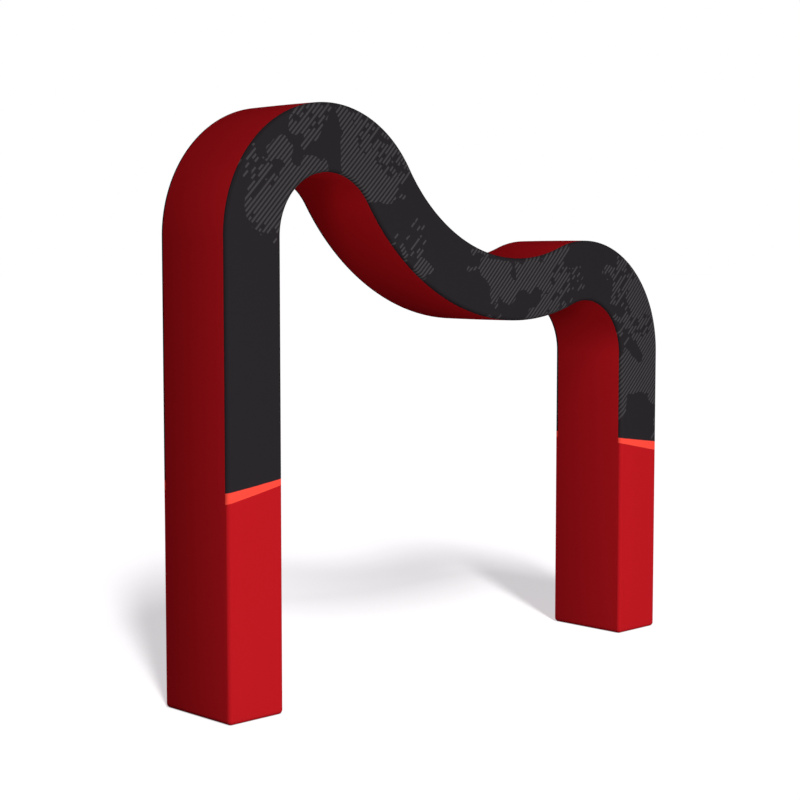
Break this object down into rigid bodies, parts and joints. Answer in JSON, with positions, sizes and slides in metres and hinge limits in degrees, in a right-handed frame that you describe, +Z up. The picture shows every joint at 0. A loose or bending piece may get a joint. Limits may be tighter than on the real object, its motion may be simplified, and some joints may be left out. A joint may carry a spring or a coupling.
{
  "type": "stretched fabric cover on arch backdrop frame",
  "caption": "Free-standing walk-through event arch: taut fabric over a box-section tube frame, with a tall hoop, a valley and a lower hoop on two straight legs.",
  "frame": {"origin": "on the floor, at the middle of the arch's width and depth", "axes": "+Z up, the front faces -Y, +X runs from the tall left leg to the lower right leg as seen from the front"},
  "size_m": [3.87, 0.6, 3.5046],
  "materials": {
    "face_cloth": "matt printed stretch fabric, near-black above and red below",
    "side_cloth": "matt red stretch fabric",
    "frame_tube": "mill finish"
  },
  "bodies": {
    "root": {"front_panel": "face_cloth", "back_panel": "face_cloth", "outer_band": "side_cloth", "inner_band": "side_cloth", "foot_base_left": "side_cloth", "foot_base_right": "side_cloth", "foot_frame_left": "frame_tube", "foot_frame_right": "frame_tube", "tube_left_leg_front_outer": "frame_tube", "tube_left_leg_front_inner": "frame_tube", "tube_left_leg_back_outer": "frame_tube", "tube_left_leg_back_inner": "frame_tube", "tube_left_hoop_front_outer": "frame_tube", "tube_left_hoop_front_inner": "frame_tube", "tube_left_hoop_back_outer": "frame_tube", "tube_left_hoop_back_inner": "frame_tube", "tube_valley_front_outer": "frame_tube", "tube_valley_front_inner": "frame_tube", "tube_valley_back_outer": "frame_tube", "tube_valley_back_inner": "frame_tube", "tube_right_hoop_front_outer": "frame_tube", "tube_right_hoop_front_inner": "frame_tube", "tube_right_hoop_back_outer": "frame_tube", "tube_right_hoop_back_inner": "frame_tube", "tube_right_leg_front_outer": "frame_tube", "tube_right_leg_front_inner": "frame_tube", "tube_right_leg_back_outer": "frame_tube", "tube_right_leg_back_inner": "frame_tube", "cross_frame_left_leg_1": "frame_tube", "cross_frame_left_leg_2": "frame_tube", "cross_frame_left_hoop_1": "frame_tube", "cross_frame_left_hoop_2": "frame_tube", "cross_frame_left_hoop_3": "frame_tube", "cross_frame_valley_1": "frame_tube", "cross_frame_valley_2": "frame_tube", "cross_frame_valley_3": "frame_tube", "cross_frame_right_hoop_1": "frame_tube", "cross_frame_right_hoop_2": "frame_tube", "cross_frame_right_hoop_3": "frame_tube", "cross_frame_right_leg_1": "frame_tube", "cross_frame_right_leg_2": "frame_tube"}
  },
  "joints": []
}
